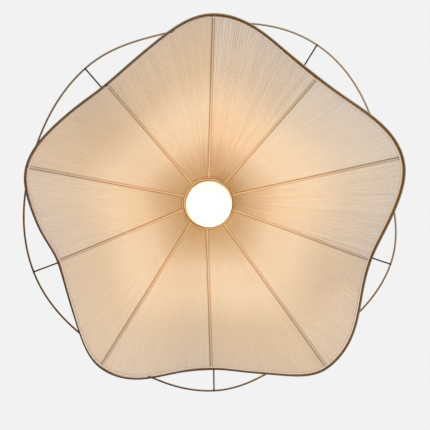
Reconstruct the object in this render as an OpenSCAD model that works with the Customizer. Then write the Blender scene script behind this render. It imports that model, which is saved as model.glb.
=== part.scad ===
// Pleated fabric pendant light, seen from below as a five-lobed flower round an opal globe.
// Millimetres, +Z up. The origin is on the axis, at the top face of the cord grip, where the light hangs.
// The lobe that stands first points to -Y, and the others follow it counter-clockwise from above.

/* [Shade] */
// Distance from the axis to the lobes of the rim
lobe_r = 379; // [350:1:400]
// How far the notches draw in from the lobes
notch_depth = 49; // [30:1:80]
// How far the lobes hang below the neck ring
shade_drop = 171; // [130:1:210]
// How far the notches stand above the lobes
notch_lift = 60; // [30:1:80]
// Distance from the axis to the wire of the neck ring
neck_r = 53.4; // [52:0.2:60]

/* [Wire frame] */
// Thickness of the neck ring, the ribs and the rim wire
frame_wire_d = 3.4; // [3:0.1:5]
// Thickness of the trim wire that runs beside the rim wire
trim_wire_d = 3; // [2:0.1:4]
// Open slit between the rim wire and the trim wire
trim_gap = 0.3; // [0.2:0.1:1]
// How far round the rim wire the trim wire turns, from under it to beside it
trim_turn = 53; // [0:1:55]
// Thickness of the outer hoop
hoop_wire_d = 3.8; // [3:0.1:6]
// Thickness of the struts between the rim and the outer hoop
strut_d = 3; // [2:0.1:4]
// How far the outer hoop stands beyond the lobes, at its struts
hoop_out = 4; // [0:1:30]
// How far the outer hoop draws in over each lobe
hoop_wave = 19; // [0:1:30]
// How far the outer hoop stands above the lobes
hoop_lift = 97; // [80:1:120]

/* [Cloth] */
// Thickness of the pleated cloth on its backing
cloth_t = 1; // [0.8:0.1:1.6]
// Pleats across each of the ten gores
gore_pleats = 12; // [4:1:16]
// How far a pleat stands proud of the cloth's middle
pleat_h = 1.1; // [0:0.1:1.6]
// Width of the tape over each seam
tape_w = 6; // [4:0.5:8]
// Thickness of the seam tape and of the bindings
tape_t = 0.8; // [0.5:0.1:1.5]
// Width of the binding along the rim
rim_binding_w = 3.2; // [2:0.1:6]
// Width of the binding round the neck
neck_binding_w = 4; // [2:0.1:6]

/* [Fitter and cup] */
// Thickness of the fitter's washer
fitter_t = 2; // [1.5:0.1:3]
// Width of the fitter's washer
fitter_w = 7; // [6:0.5:9]
// Thickness of the fitter's three arms
arm_d = 4; // [3:0.1:5]
// Radius of the bend in each arm
arm_bend_r = 9; // [6:0.5:12]
// How far the neck ring hangs below the fitter's washer
fitter_drop = 56; // [54:1:70]
// Thickness of the spun brass cup
cup_t = 1; // [0.8:0.1:1.5]
// Height of the brass cup
cup_h = 53; // [44:1:58]
// Distance from the axis to the edge of the cup's flat top
cup_top_r = 29; // [28:0.5:32]
// Thickness of the bead rolled round the cup's mouth
cup_bead_d = 2.4; // [2:0.1:3]
// Open ring between the cup's mouth and the fitter's arms
cup_gap = 0.6; // [0.4:0.1:2]

/* [Cord grip] */
// Radius of the cord hole
cord_hole_r = 3.6; // [2.5:0.1:3.7]
// Radius of the cord grip
grip_r = 8; // [7.5:0.1:10]
// Height of the cord grip
grip_h = 22; // [20:0.5:28]
// Width of the bevel round the cord grip's top
grip_bevel = 1.5; // [0.5:0.1:2.5]
// Depth of the thread in the cord grip's foot
grip_thread = 9; // [7:0.5:10]
// Radius of the grip's clamping screw
grip_screw_r = 2; // [1.5:0.1:2.5]
// Radius of the threaded nipple
nipple_r = 5; // [4.8:0.1:5.5]
// Radius of the hole through the threaded nipple
nipple_hole_r = 3.9; // [3.7:0.1:4.2]
// Height of the lock nut
nut_h = 3; // [2:0.1:5]
// Width of the lock nut across its flats
nut_af = 14; // [13:0.5:16]

/* [Lampholder] */
// Radius of the lampholder's cap
cap_r = 21.5; // [21.2:0.1:24]
// Height of the lampholder's cap
cap_h = 35; // [32:0.5:42]
// Thickness of the cap's wall
cap_wall = 1.5; // [1:0.1:1.7]
// Radius of the neck at the top of the cap
boss_r = 8.5; // [8:0.1:11]
// Height of the neck at the top of the cap
boss_h = 6; // [4:0.5:8]
// Radius of the lampholder's threaded body
body_r = 19.7; // [19.6:0.1:19.8]
// Thickness of the threaded body's wall
body_wall = 1.3; // [1:0.1:1.4]
// How far the threaded body reaches into the cap
body_in_cap = 6; // [4:0.5:8]
// How far the threaded body reaches below its flange
skirt_h = 23; // [20:0.5:28]
// Radius of the threaded body's flange
flange_r = 23.5; // [22.5:0.1:26]
// Thickness of the threaded body's flange
flange_t = 2; // [1.5:0.1:3]
// Height of the ring that clamps the shade to the lampholder
shade_ring_h = 7; // [5:0.5:10]
// Radius of the shade ring's upper flange
shade_ring_r = 27; // [25:0.5:28]
// Thickness of the shade ring's upper flange
shade_ring_flange_t = 2.5; // [1.5:0.1:4]
// Thickness of the shade ring's wall
shade_ring_wall = 3; // [2:0.1:3.5]
// Grips round the shade ring
shade_ring_grips = 24; // [12:1:30]
// Thickness of the porcelain's collar
collar_t = 3; // [2:0.1:4]
// Height of the porcelain above its collar
insert_top = 8; // [7:0.5:10]
// Depth of the porcelain below its collar
insert_deep = 22; // [20:0.5:24]
// Width of the bevel round the porcelain's top
insert_bevel = 2; // [0.5:0.1:3]
// Thickness of the screw shell
shell_t = 0.5; // [0.4:0.1:0.6]

/* [Bulb] */
// Radius of the opal globe
globe_r = 47.5; // [40:0.5:49]
// Thickness of the opal glass
glass_t = 1; // [0.8:0.1:1.5]
// Radius of the globe's neck
glass_neck_r = 17; // [16:0.1:17.5]
// Straight length of the globe's neck
glass_neck_h = 4; // [2:0.5:8]
// Radius of the blend between the neck and the globe
glass_blend_r = 12; // [8:0.5:16]
// Radius of the bulb's screw base
base_r = 13.2; // [12.8:0.1:13.3]
// Height of the bulb's screw base
base_h = 21; // [19:0.5:23]
// Height of the bulb's white collar
bulb_collar_h = 8; // [6:0.5:12]
// Thickness of the circuit boards in the bulb
board_t = 1.6; // [1:0.1:2]

/* [Hidden] */
$fn = 96;

// The frame is bent by hand, so each rib and strut stands a little off its even place.
// Each list runs counter-clockwise from above and starts at -Y: turns in degrees, bends in millimetres.
lobe_turn = [-1, 1, 0.5, 1.5, -1.5];
lobe_bend = [6.5, 1, 2, -6.5, -4.5];
notch_turn = [1.5, 0.5, 0.5, 1, -3];
notch_bend = [4, 6.5, -5.5, -8, -3];
hoop_turn = [-12, -3, 5, 0.5, 7, -0.5, -2, -0.5, 0.5, -5];
hoop_bend = [-2.5, 6, 0, 9.5, -1.5, 1.5, 1.5, -4, 6.5, -7];

// How far along the rim each strut's foot stands from its notch, in ribs.
strut_shift = [-0.145, -0.03, -0.01, 0, -0.055];
trim_dir = -68;

// Between two ribs the rim draws in by its dip, and leans towards the first rib.
rim_dip = [5.5, 4, 3.5, 0, 9, 5, 7.5, 1, 3, 7.5];
rim_lean = [0, -1, -3.5, -2.5, -7.5, -3, -4.5, 7, -3, 3];
lobes = len(lobe_turn);
ribs = 2 * lobes;
rib_step = 360 / ribs;
first_dir = -90;

// Clearances: a weld, a loose fit, a thread, a gap beside cloth, a seam, and the free end of a tape.
weld_gap = 0.2;
fit_gap = 0.3;
thread_gap = 0.1;
cloth_gap = 0.3;
seam_gap = 0.3;
tape_end_gap = 0.6;

// A cut runs this far past the face that it opens.
past = 1;
// Sides of the circles that bead, ring and arms are swept from.
wire_sides = 32;

// Levels of the cord grip, lampholder and fitter, counted down from the grip's top face at Z = 0.
grip_z = -grip_h;
nut_z = grip_z - nut_h;
cap_z = nut_z - cap_h;
flange_z = cap_z - flange_t;
fitter_z = flange_z - fitter_t;
cup_top_z = fitter_z;
cup_mouth_z = cup_top_z - cup_h;
shade_ring_z = cup_top_z - cup_t - shade_ring_h;
mouth_z = flange_z - skirt_h;
nipple_top_z = grip_z + grip_thread;
nipple_z = nut_z - boss_h;

// The porcelain's collar stands on the threaded body's top edge, inside the cap.
collar_z = cap_z + body_in_cap;
insert_top_z = collar_z + collar_t + insert_top;
insert_z = collar_z - insert_deep;
insert_r = body_r - body_wall - fit_gap;
bulb_hole_r = base_r + fit_gap + shell_t;
contact_d = 9;
contact_plate_t = 0.6;
contact_boss_h = 1.1;
contact_roof_t = 4;
contact_z = insert_top_z - contact_roof_t;
tip_z = contact_z - contact_plate_t - contact_boss_h - fit_gap;
shell_drop = 3.5;
shell_top_z = tip_z - shell_drop;
shell_lip = 3;
shell_inset = 1;
terminal_r = 2.6;
terminal_h = 2;
terminal_off = 10;
slot_w = 0.8;
slot_deep = 0.8;
grip_rib_r = 0.8;

// The bulb hangs from its contact, and its parts follow each other downwards.
tip_h = 1.6;
tip_r = 4.6;
insulator_h = 3.8;
insulator_z = tip_z - tip_h - insulator_h;
base_z = insulator_z - base_h;
base_t = 0.5;
bulb_neck_h = 2.4;
bulb_wall = 1.5;
bulb_floor_t = 2;
bulb_collar_z = base_z - bulb_collar_h;
bulb_collar_lap = 0.5;
bulb_collar_r = glass_neck_r + bulb_collar_lap;
blend_rise = sqrt(pow(globe_r + glass_blend_r, 2) - pow(glass_neck_r + glass_blend_r, 2));
globe_z = bulb_collar_z - glass_neck_h - blend_rise;
board_r = glass_neck_r - glass_t - fit_gap;
driver_w = 16;
driver_top_gap = 4;
driver_z = bulb_collar_z + bulb_floor_t;
driver_h = base_z + base_h - driver_top_gap - driver_z;

// The shade's wires: the neck ring hangs from the fitter, and the rim from the neck.
neck_z = fitter_z - fitter_drop;
lobe_z = neck_z - shade_drop;
notch_r = lobe_r - notch_depth;
hoop_r = lobe_r + hoop_out;
wire_r = frame_wire_d / 2;
cup_r = neck_r - max(wire_r, arm_d / 2) - cup_gap;
arms = 3;
arm_first_dir = 30;
tube_sides = 8;
span_steps = 12;
hoop_steps = 10;

// The cloth lies under the wires, and its slope is that of the steepest rib.
slope_cos = cos(atan2(shade_drop, lobe_r - neck_r));
cloth_drop = (wire_r + cloth_gap + cloth_t / 2) / slope_cos;
cloth_half = cloth_t / 2 / slope_cos;
tape_drop = cloth_half + cloth_gap;
edge_inset = (wire_r + cloth_gap) / slope_cos;
pleat_from = 0.1;
pleat_to = 0.92;

function mix(a, b, t) = a + (b - a) * t;
function ease(t) = (1 - cos(180 * t)) / 2;
function at(list, i) = list[floor(i / 2) % lobes];
function is_lobe(i) = i % 2 == 0;

// Rib i runs to a lobe where i is even and to a notch where it is odd.
function even_dir(i) = first_dir + rib_step * i;
function rib_dir(i) = even_dir(i) + (is_lobe(i) ? at(lobe_turn, i) : at(notch_turn, i));
function rib_reach(i) = is_lobe(i) ? lobe_r + at(lobe_bend, i) : notch_r + at(notch_bend, i);
function rib_level(i) = is_lobe(i) ? lobe_z : lobe_z + notch_lift;
function hoop_dir(i) = even_dir(i) + hoop_turn[i % ribs];
function hoop_reach(i) = hoop_r - (is_lobe(i) ? hoop_wave : 0) + hoop_bend[i % ribs];

// A point u ribs round the rim: the radius and level swing from rib to rib as a cosine.
function rim_dir(u) = mix(rib_dir(floor(u)), rib_dir(floor(u) + 1), u - floor(u));
function rim_bow(i, s) = pow(sin(180 * s), 2) * (rim_lean[i % ribs] * cos(180 * s) - rim_dip[i % ribs]);
function rim_point(u) = let (
        i = floor(u),
        t = ease(u - i),
        r = mix(rib_reach(i), rib_reach(i + 1), t) + rim_bow(i, u - i),
        z = mix(rib_level(i), rib_level(i + 1), t),
        a = rim_dir(u)
    ) [r * cos(a), r * sin(a), z];
function hoop_point(u) = let (
        i = floor(u),
        r = mix(hoop_reach(i), hoop_reach(i + 1), ease(u - i)),
        a = mix(hoop_dir(i), hoop_dir(i + 1), u - i)
    ) [r * cos(a), r * sin(a), lobe_z + hoop_lift];
function neck_point(u) = [neck_r * cos(rim_dir(u)), neck_r * sin(rim_dir(u)), neck_z];

// The level direction square to a curve, pointing away from the axis, from two near points of it.
near = 0.02;
function outward(a, b) = [b.y - a.y, a.x - b.x, 0] / norm([b.y - a.y, a.x - b.x]);
function rim_outward(u) = outward(rim_point(u + ribs - near), rim_point(u + ribs + near));

// The trim wire follows the rim wire: under it on one side of the shade and leaning out on the other.
function trim_point(u) = let (
        turn = trim_turn * (1 + cos(rim_dir(u) - trim_dir)) / 2,
        apart = wire_r + trim_gap + trim_wire_d / 2
    ) rim_point(u) + apart * (sin(turn) * rim_outward(u) - [0, 0, cos(turn)]);

// The cloth's middle: straight pleats from the neck ring to the rim, held below the wires.
function pleat_len(u) = norm(rim_point(u) - neck_point(u));
function cloth_point(u, s) = mix(neck_point(u), rim_point(u), s * (1 - edge_inset / pleat_len(u)))
    - [0, 0, cloth_drop];

// Rings of points round each point of a closed path, square to it.
function ring_at(a, c, b, r, sides) = let (
        out = outward(a, b),
        up = cross(out, (b - a) / norm(b - a))
    ) [for (k = [0:sides - 1]) c + r * (cos(360 * k / sides) * out + sin(360 * k / sides) * up)];
function closed_tube(path, r, sides) = let (n = len(path)) [
    for (i = [0:n - 1]) each ring_at(path[(i + n - 1) % n], path[i], path[(i + 1) % n], r, sides)];
function loop_faces(rings, sides) = [
    for (i = [0:rings - 1], k = [0:sides - 1]) let (
        j = (i + 1) % rings,
        m = (k + 1) % sides,
        a = i * sides + k,
        b = j * sides + k,
        c = j * sides + m,
        d = i * sides + m
    ) each [[a, d, c], [a, c, b]]];

// A closed tube along a path of points.
module wire_loop(path, d) {
    polyhedron(closed_tube(path, d / 2, tube_sides), loop_faces(len(path), tube_sides), convexity = 10);
}

// How far a bar stops short of the middle of a wire that it meets, also where they meet aslant.
function butt(bar_d, wire_d, along, before, after) = let (
        wire = (after - before) / norm(after - before),
        bar = along / norm(along),
        across = norm(cross(bar, wire))
    ) (wire_d / 2 + bar_d / 2 * abs(bar * wire)) / across + weld_gap;

// A straight round bar between two points, cut short by a length at each end.
module bar(from, to, d, cut_from, cut_to) {
    along = to - from;
    length = norm(along);
    translate(from)
        rotate([0, acos(along.z / length), atan2(along.y, along.x)])
            translate([0, 0, cut_from])
                cylinder(d = d, h = length - cut_from - cut_to);
}

// A flat strip of the cloth's slope, w wide, that starts at distance from_neck or ends at the rim's edge.
function strip_share(u, w, at_rim) = at_rim ? 1 - w / pleat_len(u) : w / pleat_len(u);
function strip_ring(u, w, at_rim) = let (
        s = strip_share(u, w, at_rim),
        outer = cloth_point(u, at_rim ? 1 : s) - [0, 0, tape_drop],
        inner = cloth_point(u, at_rim ? s : 0) - [0, 0, tape_drop],
        thick = [0, 0, tape_t]
    ) [outer - thick, outer, inner, inner - thick];
module binding_loop(w, at_rim) {
    rings = ribs * span_steps;
    points = [for (i = [0:rings - 1]) each strip_ring(i / span_steps, w, at_rim)];
    polyhedron(points, loop_faces(rings, 4), convexity = 10);
}

// Cord grip: the cord comes in at its top face, and a side screw clamps it.
module cord_grip() {
    color("#b8924e") difference() {
        rotate_extrude()
            polygon([[0, grip_z], [grip_r, grip_z], [grip_r, -grip_bevel], [grip_r - grip_bevel, 0], [0, 0]]);
        translate([0, 0, grip_z - past]) cylinder(r = cord_hole_r, h = grip_h + 2 * past);
        translate([0, 0, grip_z - past]) cylinder(r = nipple_r + thread_gap, h = grip_thread + past);
        translate([0, 0, nipple_top_z / 2]) rotate([90, 0, 0])
            cylinder(r = grip_screw_r + thread_gap, h = grip_r + past);
    }
}

// A screw with a slot across its head, standing on its foot.
module slotted_screw(r, h) {
    difference() {
        cylinder(r = r, h = h);
        translate([-r, -slot_w / 2, h - slot_deep]) cube([2 * r, slot_w, slot_deep + past]);
    }
}

module grip_screw() {
    foot = cord_hole_r + thread_gap;
    color("#d9d4c6") translate([0, -foot, nipple_top_z / 2]) rotate([90, 0, 0])
        slotted_screw(grip_screw_r, grip_r - foot);
}

module threaded_nipple() {
    color("#b8924e") translate([0, 0, nipple_z]) difference() {
        cylinder(r = nipple_r, h = nipple_top_z - nipple_z);
        translate([0, 0, -past]) cylinder(r = nipple_hole_r, h = nipple_top_z - nipple_z + 2 * past);
    }
}

module lock_nut() {
    color("#b8924e") translate([0, 0, nut_z]) difference() {
        cylinder(d = nut_af / cos(30), h = nut_h, $fn = 6);
        translate([0, 0, -past]) cylinder(r = nipple_r + thread_gap, h = nut_h + 2 * past);
    }
}

// The cap's wall: a neck, a quarter of an ellipse and a straight skirt, drawn w inside the outer face.
function cap_profile(w) = let (
        top = nut_z - boss_h,
        rise = cap_h - boss_h - body_in_cap - collar_t
    ) [for (a = [90:-10:0]) [boss_r + (cap_r - boss_r) * cos(a) - w, top - rise + (rise - w) * sin(a)]];
module holder_cap() {
    color("#c39a55") difference() {
        rotate_extrude()
            polygon(concat([[0, nut_z], [boss_r, nut_z]], cap_profile(0), [[cap_r, cap_z], [0, cap_z]]));
        rotate_extrude() polygon(concat([[0, nut_z - boss_h - cap_wall]], cap_profile(cap_wall),
            [[cap_r - cap_wall, cap_z - past], [0, cap_z - past]]));
        translate([0, 0, nipple_z - cap_wall - past]) cylinder(r = nipple_r + thread_gap, h = cap_h);
    }
}

// Threaded body: its top screws into the cap, and its flange stops the shade's fitter.
module holder_body() {
    color("#c39a55") difference() {
        union() {
            translate([0, 0, mouth_z]) cylinder(r = body_r, h = collar_z - mouth_z);
            translate([0, 0, flange_z]) cylinder(r = flange_r, h = flange_t);
        }
        translate([0, 0, mouth_z - past]) cylinder(r = body_r - body_wall, h = collar_z - mouth_z + 2 * past);
    }
}

// Porcelain: a collar on the body's top edge, a well for the screw shell and a recess for the contact.
module holder_insert() {
    color("#f2efe8") difference() {
        union() {
            translate([0, 0, insert_z]) cylinder(r = insert_r, h = insert_top_z - insert_z - insert_bevel);
            translate([0, 0, insert_top_z - insert_bevel])
                cylinder(r1 = insert_r, r2 = insert_r - insert_bevel, h = insert_bevel);
            translate([0, 0, collar_z]) cylinder(r = body_r - fit_gap, h = collar_t);
        }
        translate([0, 0, insert_z - past])
            cylinder(r = bulb_hole_r + thread_gap, h = shell_top_z - insert_z + past);
        translate([0, 0, shell_top_z - past])
            cylinder(r = bulb_hole_r - shell_lip, h = contact_z - shell_top_z + past);
    }
}

module terminal_screws() {
    color("#b08a48") for (side = [-1, 1])
        translate([side * terminal_off, 0, insert_top_z]) slotted_screw(terminal_r, terminal_h);
}

// Screw shell: a thin cup in the porcelain's well that takes the bulb's base.
module screw_shell() {
    color("#c9a663") difference() {
        translate([0, 0, insert_z + shell_inset])
            cylinder(r = bulb_hole_r, h = shell_top_z - insert_z - shell_inset);
        translate([0, 0, insert_z]) cylinder(r = bulb_hole_r - shell_t, h = shell_top_z - shell_t - insert_z);
        translate([0, 0, insert_z]) cylinder(r = bulb_hole_r - shell_lip, h = shell_top_z - insert_z + past);
    }
}

module centre_contact() {
    color("#c9a663") translate([0, 0, contact_z - contact_plate_t]) {
        cylinder(d = contact_d, h = contact_plate_t);
        translate([0, 0, -contact_boss_h])
            cylinder(d1 = contact_d / 3, d2 = contact_d / 2, h = contact_boss_h);
    }
}

// Shade ring: screws up the threaded body and clamps the cup and the fitter to its flange.
module shade_ring() {
    wall_r = body_r + shade_ring_wall;
    low_h = shade_ring_h - shade_ring_flange_t;
    color("#c39a55") translate([0, 0, shade_ring_z]) difference() {
        union() {
            cylinder(r = wall_r, h = shade_ring_h);
            translate([0, 0, low_h]) cylinder(r = shade_ring_r, h = shade_ring_flange_t);
            for (i = [1:shade_ring_grips]) rotate(i * 360 / shade_ring_grips)
                translate([wall_r, 0, 0]) cylinder(r = grip_rib_r, h = low_h);
        }
        translate([0, 0, -past]) cylinder(r = body_r + thread_gap, h = shade_ring_h + 2 * past);
    }
}

// Brass cup: a flat top on the shade ring, a bell-shaped wall and a rolled bead at the mouth.
function cup_profile(w) = [for (a = [90:-7.5:0])
    [cup_top_r + (cup_r - cup_top_r) * cos(a) - w, cup_mouth_z + (cup_h - w) * sin(a)]];
module brass_cup() {
    color("#c99a45") difference() {
        union() {
            rotate_extrude() difference() {
                polygon(concat([[0, cup_mouth_z], [0, cup_top_z]], cup_profile(0)));
                polygon(concat([[0, cup_mouth_z - past], [0, cup_top_z - cup_t]], cup_profile(cup_t),
                    [[cup_r - cup_t, cup_mouth_z - past]]));
            }
            translate([0, 0, cup_mouth_z]) rotate_extrude() translate([cup_r - cup_bead_d / 2, 0])
                circle(d = cup_bead_d, $fn = wire_sides);
        }
        translate([0, 0, cup_top_z - cup_t - past]) cylinder(r = body_r + fit_gap, h = cup_t + 2 * past);
    }
}

// Fitter: a washer under the lampholder's flange, and three bent arms down to the neck ring.
module shade_fitter() {
    mid_z = fitter_z + arm_d / 2;
    color("#6e5a44") difference() {
        union() {
            translate([0, 0, fitter_z]) cylinder(r = body_r + fitter_w, h = fitter_t);
            for (i = [0:arms - 1]) rotate(arm_first_dir + i * 360 / arms) {
                translate([flange_r + fit_gap, 0, mid_z]) rotate([0, 90, 0])
                    cylinder(d = arm_d, h = neck_r - arm_bend_r - flange_r - fit_gap);
                translate([neck_r - arm_bend_r, 0, mid_z - arm_bend_r]) rotate([90, 0, 0])
                    rotate_extrude(angle = 90) translate([arm_bend_r, 0]) circle(d = arm_d, $fn = wire_sides);
                translate([neck_r, 0, neck_z + wire_r + weld_gap])
                    cylinder(d = arm_d, h = mid_z - arm_bend_r - neck_z - wire_r - weld_gap);
            }
        }
        translate([0, 0, fitter_z - past]) cylinder(r = body_r + fit_gap, h = arm_d + 2 * past);
    }
}

module neck_ring() {
    color("#6e5236") translate([0, 0, neck_z]) rotate_extrude() translate([neck_r, 0])
        circle(d = frame_wire_d, $fn = wire_sides);
}

module rim_wire() {
    color("#6e5236") wire_loop([for (i = [0:ribs * span_steps - 1]) rim_point(i / span_steps)], frame_wire_d);
}

module trim_wire() {
    color("#8a7458") wire_loop([for (i = [0:ribs * span_steps - 1]) trim_point(i / span_steps)], trim_wire_d);
}

module outer_hoop() {
    color("#8a7458") wire_loop([for (i = [0:ribs * hoop_steps - 1]) hoop_point(i / hoop_steps)], hoop_wire_d);
}

module hoop_strut(i) {
    top = 2 * i - 1;
    foot = top + strut_shift[i - 1];
    from = rim_point(foot);
    to = hoop_point(top);
    color("#5c4934") bar(from, to, strut_d,
        butt(strut_d, frame_wire_d, to - from, rim_point(foot - near), rim_point(foot + near)),
        butt(strut_d, hoop_wire_d, to - from, hoop_point(top - near), hoop_point(top + near)));
}

module rib(i) {
    cut = wire_r + weld_gap;
    color("#6e5236") bar(neck_point(i - 1), rim_point(i - 1), frame_wire_d, cut, cut);
}

// Gore i: pleated cloth between two ribs. Its pleats lie flat at the seams, the neck and the rim.
module gore(i) {
    cols = 2 * gore_pleats;
    rows = [0, pleat_from, pleat_to, 1];
    last = len(rows) - 1;
    side = function (j) j == 0 ? seam_gap / 2 : j == cols ? -seam_gap / 2 : 0;
    flat = function (j, k) j < 2 || j > cols - 2 || k == 0 || k == last;
    fold = function (j, k) flat(j, k) ? 0 : j % 2 == 0 ? pleat_h : -pleat_h;
    sheet = function (up) [for (k = [0:last], j = [0:cols]) let (u = i - 1 + j / cols, a = rim_dir(u))
        cloth_point(u, rows[k]) + [-sin(a) * side(j), cos(a) * side(j), fold(j, k) + up]];
    n = (last + 1) * (cols + 1);
    id = function (k, j) k * (cols + 1) + j;
    faces = concat(
        [for (k = [0:last - 1], j = [0:cols - 1]) let (a = id(k, j), b = id(k + 1, j), c = b + 1, d = a + 1)
            each [[a, d, c], [a, c, b], [n + a, n + b, n + c], [n + a, n + c, n + d]]],
        [for (k = [0:last - 1]) let (a = id(k, 0), b = id(k + 1, 0), c = id(k, cols), d = id(k + 1, cols))
            each [[a, b, n + b], [a, n + b, n + a], [c, n + d, d], [c, n + c, n + d]]],
        [for (j = [0:cols - 1]) let (a = id(0, j), d = a + 1, b = id(last, j), c = b + 1)
            each [[d, a, n + a], [d, n + a, n + d], [c, n + b, b], [c, n + c, n + b]]]);
    color("#e2c7a2") polyhedron(concat(sheet(cloth_half), sheet(-cloth_half)), faces, convexity = 10);
}

// Seam tapes: one under each rib, between the two bindings.
module seam_tapes() {
    color("#d4b68d") for (i = [0:ribs - 1]) {
        drop = [0, 0, tape_drop + tape_t / 2 / slope_cos];
        from = cloth_point(i, strip_share(i, neck_binding_w + tape_end_gap, false)) - drop;
        to = cloth_point(i, strip_share(i, rim_binding_w + tape_end_gap, true)) - drop;
        along = to - from;
        translate(from) rotate([0, acos(along.z / norm(along)), atan2(along.y, along.x)])
            translate([-tape_t / 2, -tape_w / 2, 0]) cube([tape_t, tape_w, norm(along)]);
    }
}

module rim_binding() {
    color("#e8cfa6") binding_loop(rim_binding_w, true);
}

module neck_binding() {
    color("#d4b68d") binding_loop(neck_binding_w, false);
}

// The globe's outline from its neck to its pole, w inside the outer face.
function globe_profile(w) = let (
        turn = asin((glass_neck_r + glass_blend_r) / (globe_r + glass_blend_r)),
        blend_c = [glass_neck_r + glass_blend_r, globe_z + blend_rise]
    ) concat(
        [[glass_neck_r - w, bulb_collar_z]],
        [for (k = [0:6]) let (a = 180 + (90 - turn) * k / 6)
            blend_c + (glass_blend_r + w) * [cos(a), sin(a)]],
        [for (k = [1:23]) let (a = 90 - turn - (180 - turn) * k / 24)
            [0, globe_z] + (globe_r - w) * [cos(a), sin(a)]],
        [[0, globe_z - globe_r + w]]);
module bulb_globe() {
    color("#fdfbf4") rotate_extrude() difference() {
        polygon(concat([[0, bulb_collar_z]], globe_profile(0)));
        polygon(concat([[0, bulb_collar_z + past], [glass_neck_r - glass_t, bulb_collar_z + past]],
            globe_profile(glass_t)));
    }
}

// White collar: a cup that joins the glass to the screw base and carries the boards.
module bulb_collar() {
    color("#f4f3ef") difference() {
        union() {
            translate([0, 0, bulb_collar_z]) cylinder(r = bulb_collar_r, h = bulb_collar_h - bulb_neck_h);
            translate([0, 0, base_z - bulb_neck_h]) cylinder(r = base_r, h = bulb_neck_h);
        }
        translate([0, 0, bulb_collar_z + bulb_floor_t]) cylinder(r = base_r - bulb_wall, h = bulb_collar_h);
    }
}

module bulb_base() {
    color("#c9c9c6") difference() {
        translate([0, 0, base_z]) cylinder(r = base_r, h = base_h);
        translate([0, 0, base_z - past]) cylinder(r = base_r - base_t, h = base_h + 2 * past);
    }
}

module led_board() {
    color("#f0f0ea") translate([0, 0, bulb_collar_z - board_t]) cylinder(r = board_r, h = board_t);
}

module led_driver() {
    color("#3d6b45") translate([-driver_w / 2, -board_t / 2, driver_z]) cube([driver_w, board_t, driver_h]);
}

module bulb_insulator() {
    color("#2a2a2c") translate([0, 0, insulator_z])
        cylinder(r1 = base_r - base_t - thread_gap, r2 = tip_r, h = insulator_h);
}

module bulb_contact() {
    color("#c9c9c6") translate([0, 0, insulator_z + insulator_h]) {
        cylinder(r = tip_r, h = tip_h / 2);
        translate([0, 0, tip_h / 2]) cylinder(r1 = tip_r, r2 = tip_r / 2, h = tip_h / 2);
    }
}

cord_grip();
grip_screw();
threaded_nipple();
lock_nut();
holder_cap();
holder_body();
holder_insert();
terminal_screws();
screw_shell();
centre_contact();
shade_ring();
brass_cup();
shade_fitter();
neck_ring();
rim_wire();
trim_wire();
outer_hoop();
for (i = [1:lobes]) hoop_strut(i);
for (i = [1:ribs]) rib(i);
for (i = [1:ribs]) gore(i);
seam_tapes();
rim_binding();
neck_binding();
bulb_globe();
bulb_collar();
bulb_base();
led_board();
led_driver();
bulb_insulator();
bulb_contact();
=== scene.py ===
# %% [markdown]
# # A pleated fabric pendant light
# The shade is a flower of wire and cloth. Ten ribs run from a small ring to a lobed rim, ten gores of
# finely pleated cloth are stretched under them, and an opal globe hangs in the middle in a brass cup.
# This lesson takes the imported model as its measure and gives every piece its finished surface.
# Lengths are in metres, +Z is up, and the origin is at the top face of the cord grip.

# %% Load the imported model
import math

import bmesh
import bpy
import numpy as np
from mathutils import Matrix, Vector


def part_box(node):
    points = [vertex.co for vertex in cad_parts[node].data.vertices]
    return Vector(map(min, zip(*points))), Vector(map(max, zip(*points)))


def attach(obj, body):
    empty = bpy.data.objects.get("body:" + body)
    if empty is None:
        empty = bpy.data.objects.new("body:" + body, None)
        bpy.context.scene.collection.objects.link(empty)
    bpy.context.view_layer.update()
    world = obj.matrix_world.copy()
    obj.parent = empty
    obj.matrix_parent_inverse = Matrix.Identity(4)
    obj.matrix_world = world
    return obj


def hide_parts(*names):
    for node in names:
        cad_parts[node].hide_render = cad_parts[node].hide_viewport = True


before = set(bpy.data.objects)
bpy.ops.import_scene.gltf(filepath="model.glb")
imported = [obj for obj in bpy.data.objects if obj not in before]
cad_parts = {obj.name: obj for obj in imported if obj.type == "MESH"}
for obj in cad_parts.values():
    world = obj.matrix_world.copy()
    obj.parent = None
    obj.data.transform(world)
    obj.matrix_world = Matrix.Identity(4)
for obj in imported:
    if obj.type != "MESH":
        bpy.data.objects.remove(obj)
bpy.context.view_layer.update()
scene = bpy.context.scene
mm = 0.001

# %% [markdown]
# ## Measures from the frame
# The wires fix everything else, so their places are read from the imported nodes: the neck ring gives the
# top, and each straight rib and strut ends where it meets another wire. Between two ribs the rim swings
# in and out, and up and down, as half a cosine wave, by the same rule as in the CAD source.

# %% Directions about the axis, and ends of a straight bar
end_slice = 0.1 * mm


def norm(vectors):
    """Each vector's length."""
    return np.linalg.norm(vectors, axis=-1)


def unit(vectors):
    """Each vector divided by its length."""
    return vectors / norm(vectors)[..., None]


def cylindrical(reach, turn, z):
    """Points at a distance from the lamp's axis, in a direction and at a level."""
    return np.stack(np.broadcast_arrays(reach * np.cos(turn), reach * np.sin(turn), z), -1)


def sideways(turn):
    """The level direction square to a direction from the axis, counter-clockwise from above."""
    return np.stack([-np.sin(turn), np.cos(turn), 0 * turn], -1)


def node_points(node):
    """The distinct vertices of a CAD node, one row each."""
    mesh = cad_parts[node].data
    flat = np.empty(len(mesh.vertices) * 3, np.float32)
    mesh.vertices.foreach_get("co", flat)
    return np.unique(flat.reshape(-1, 3).astype(float).round(6), axis=0)


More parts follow.
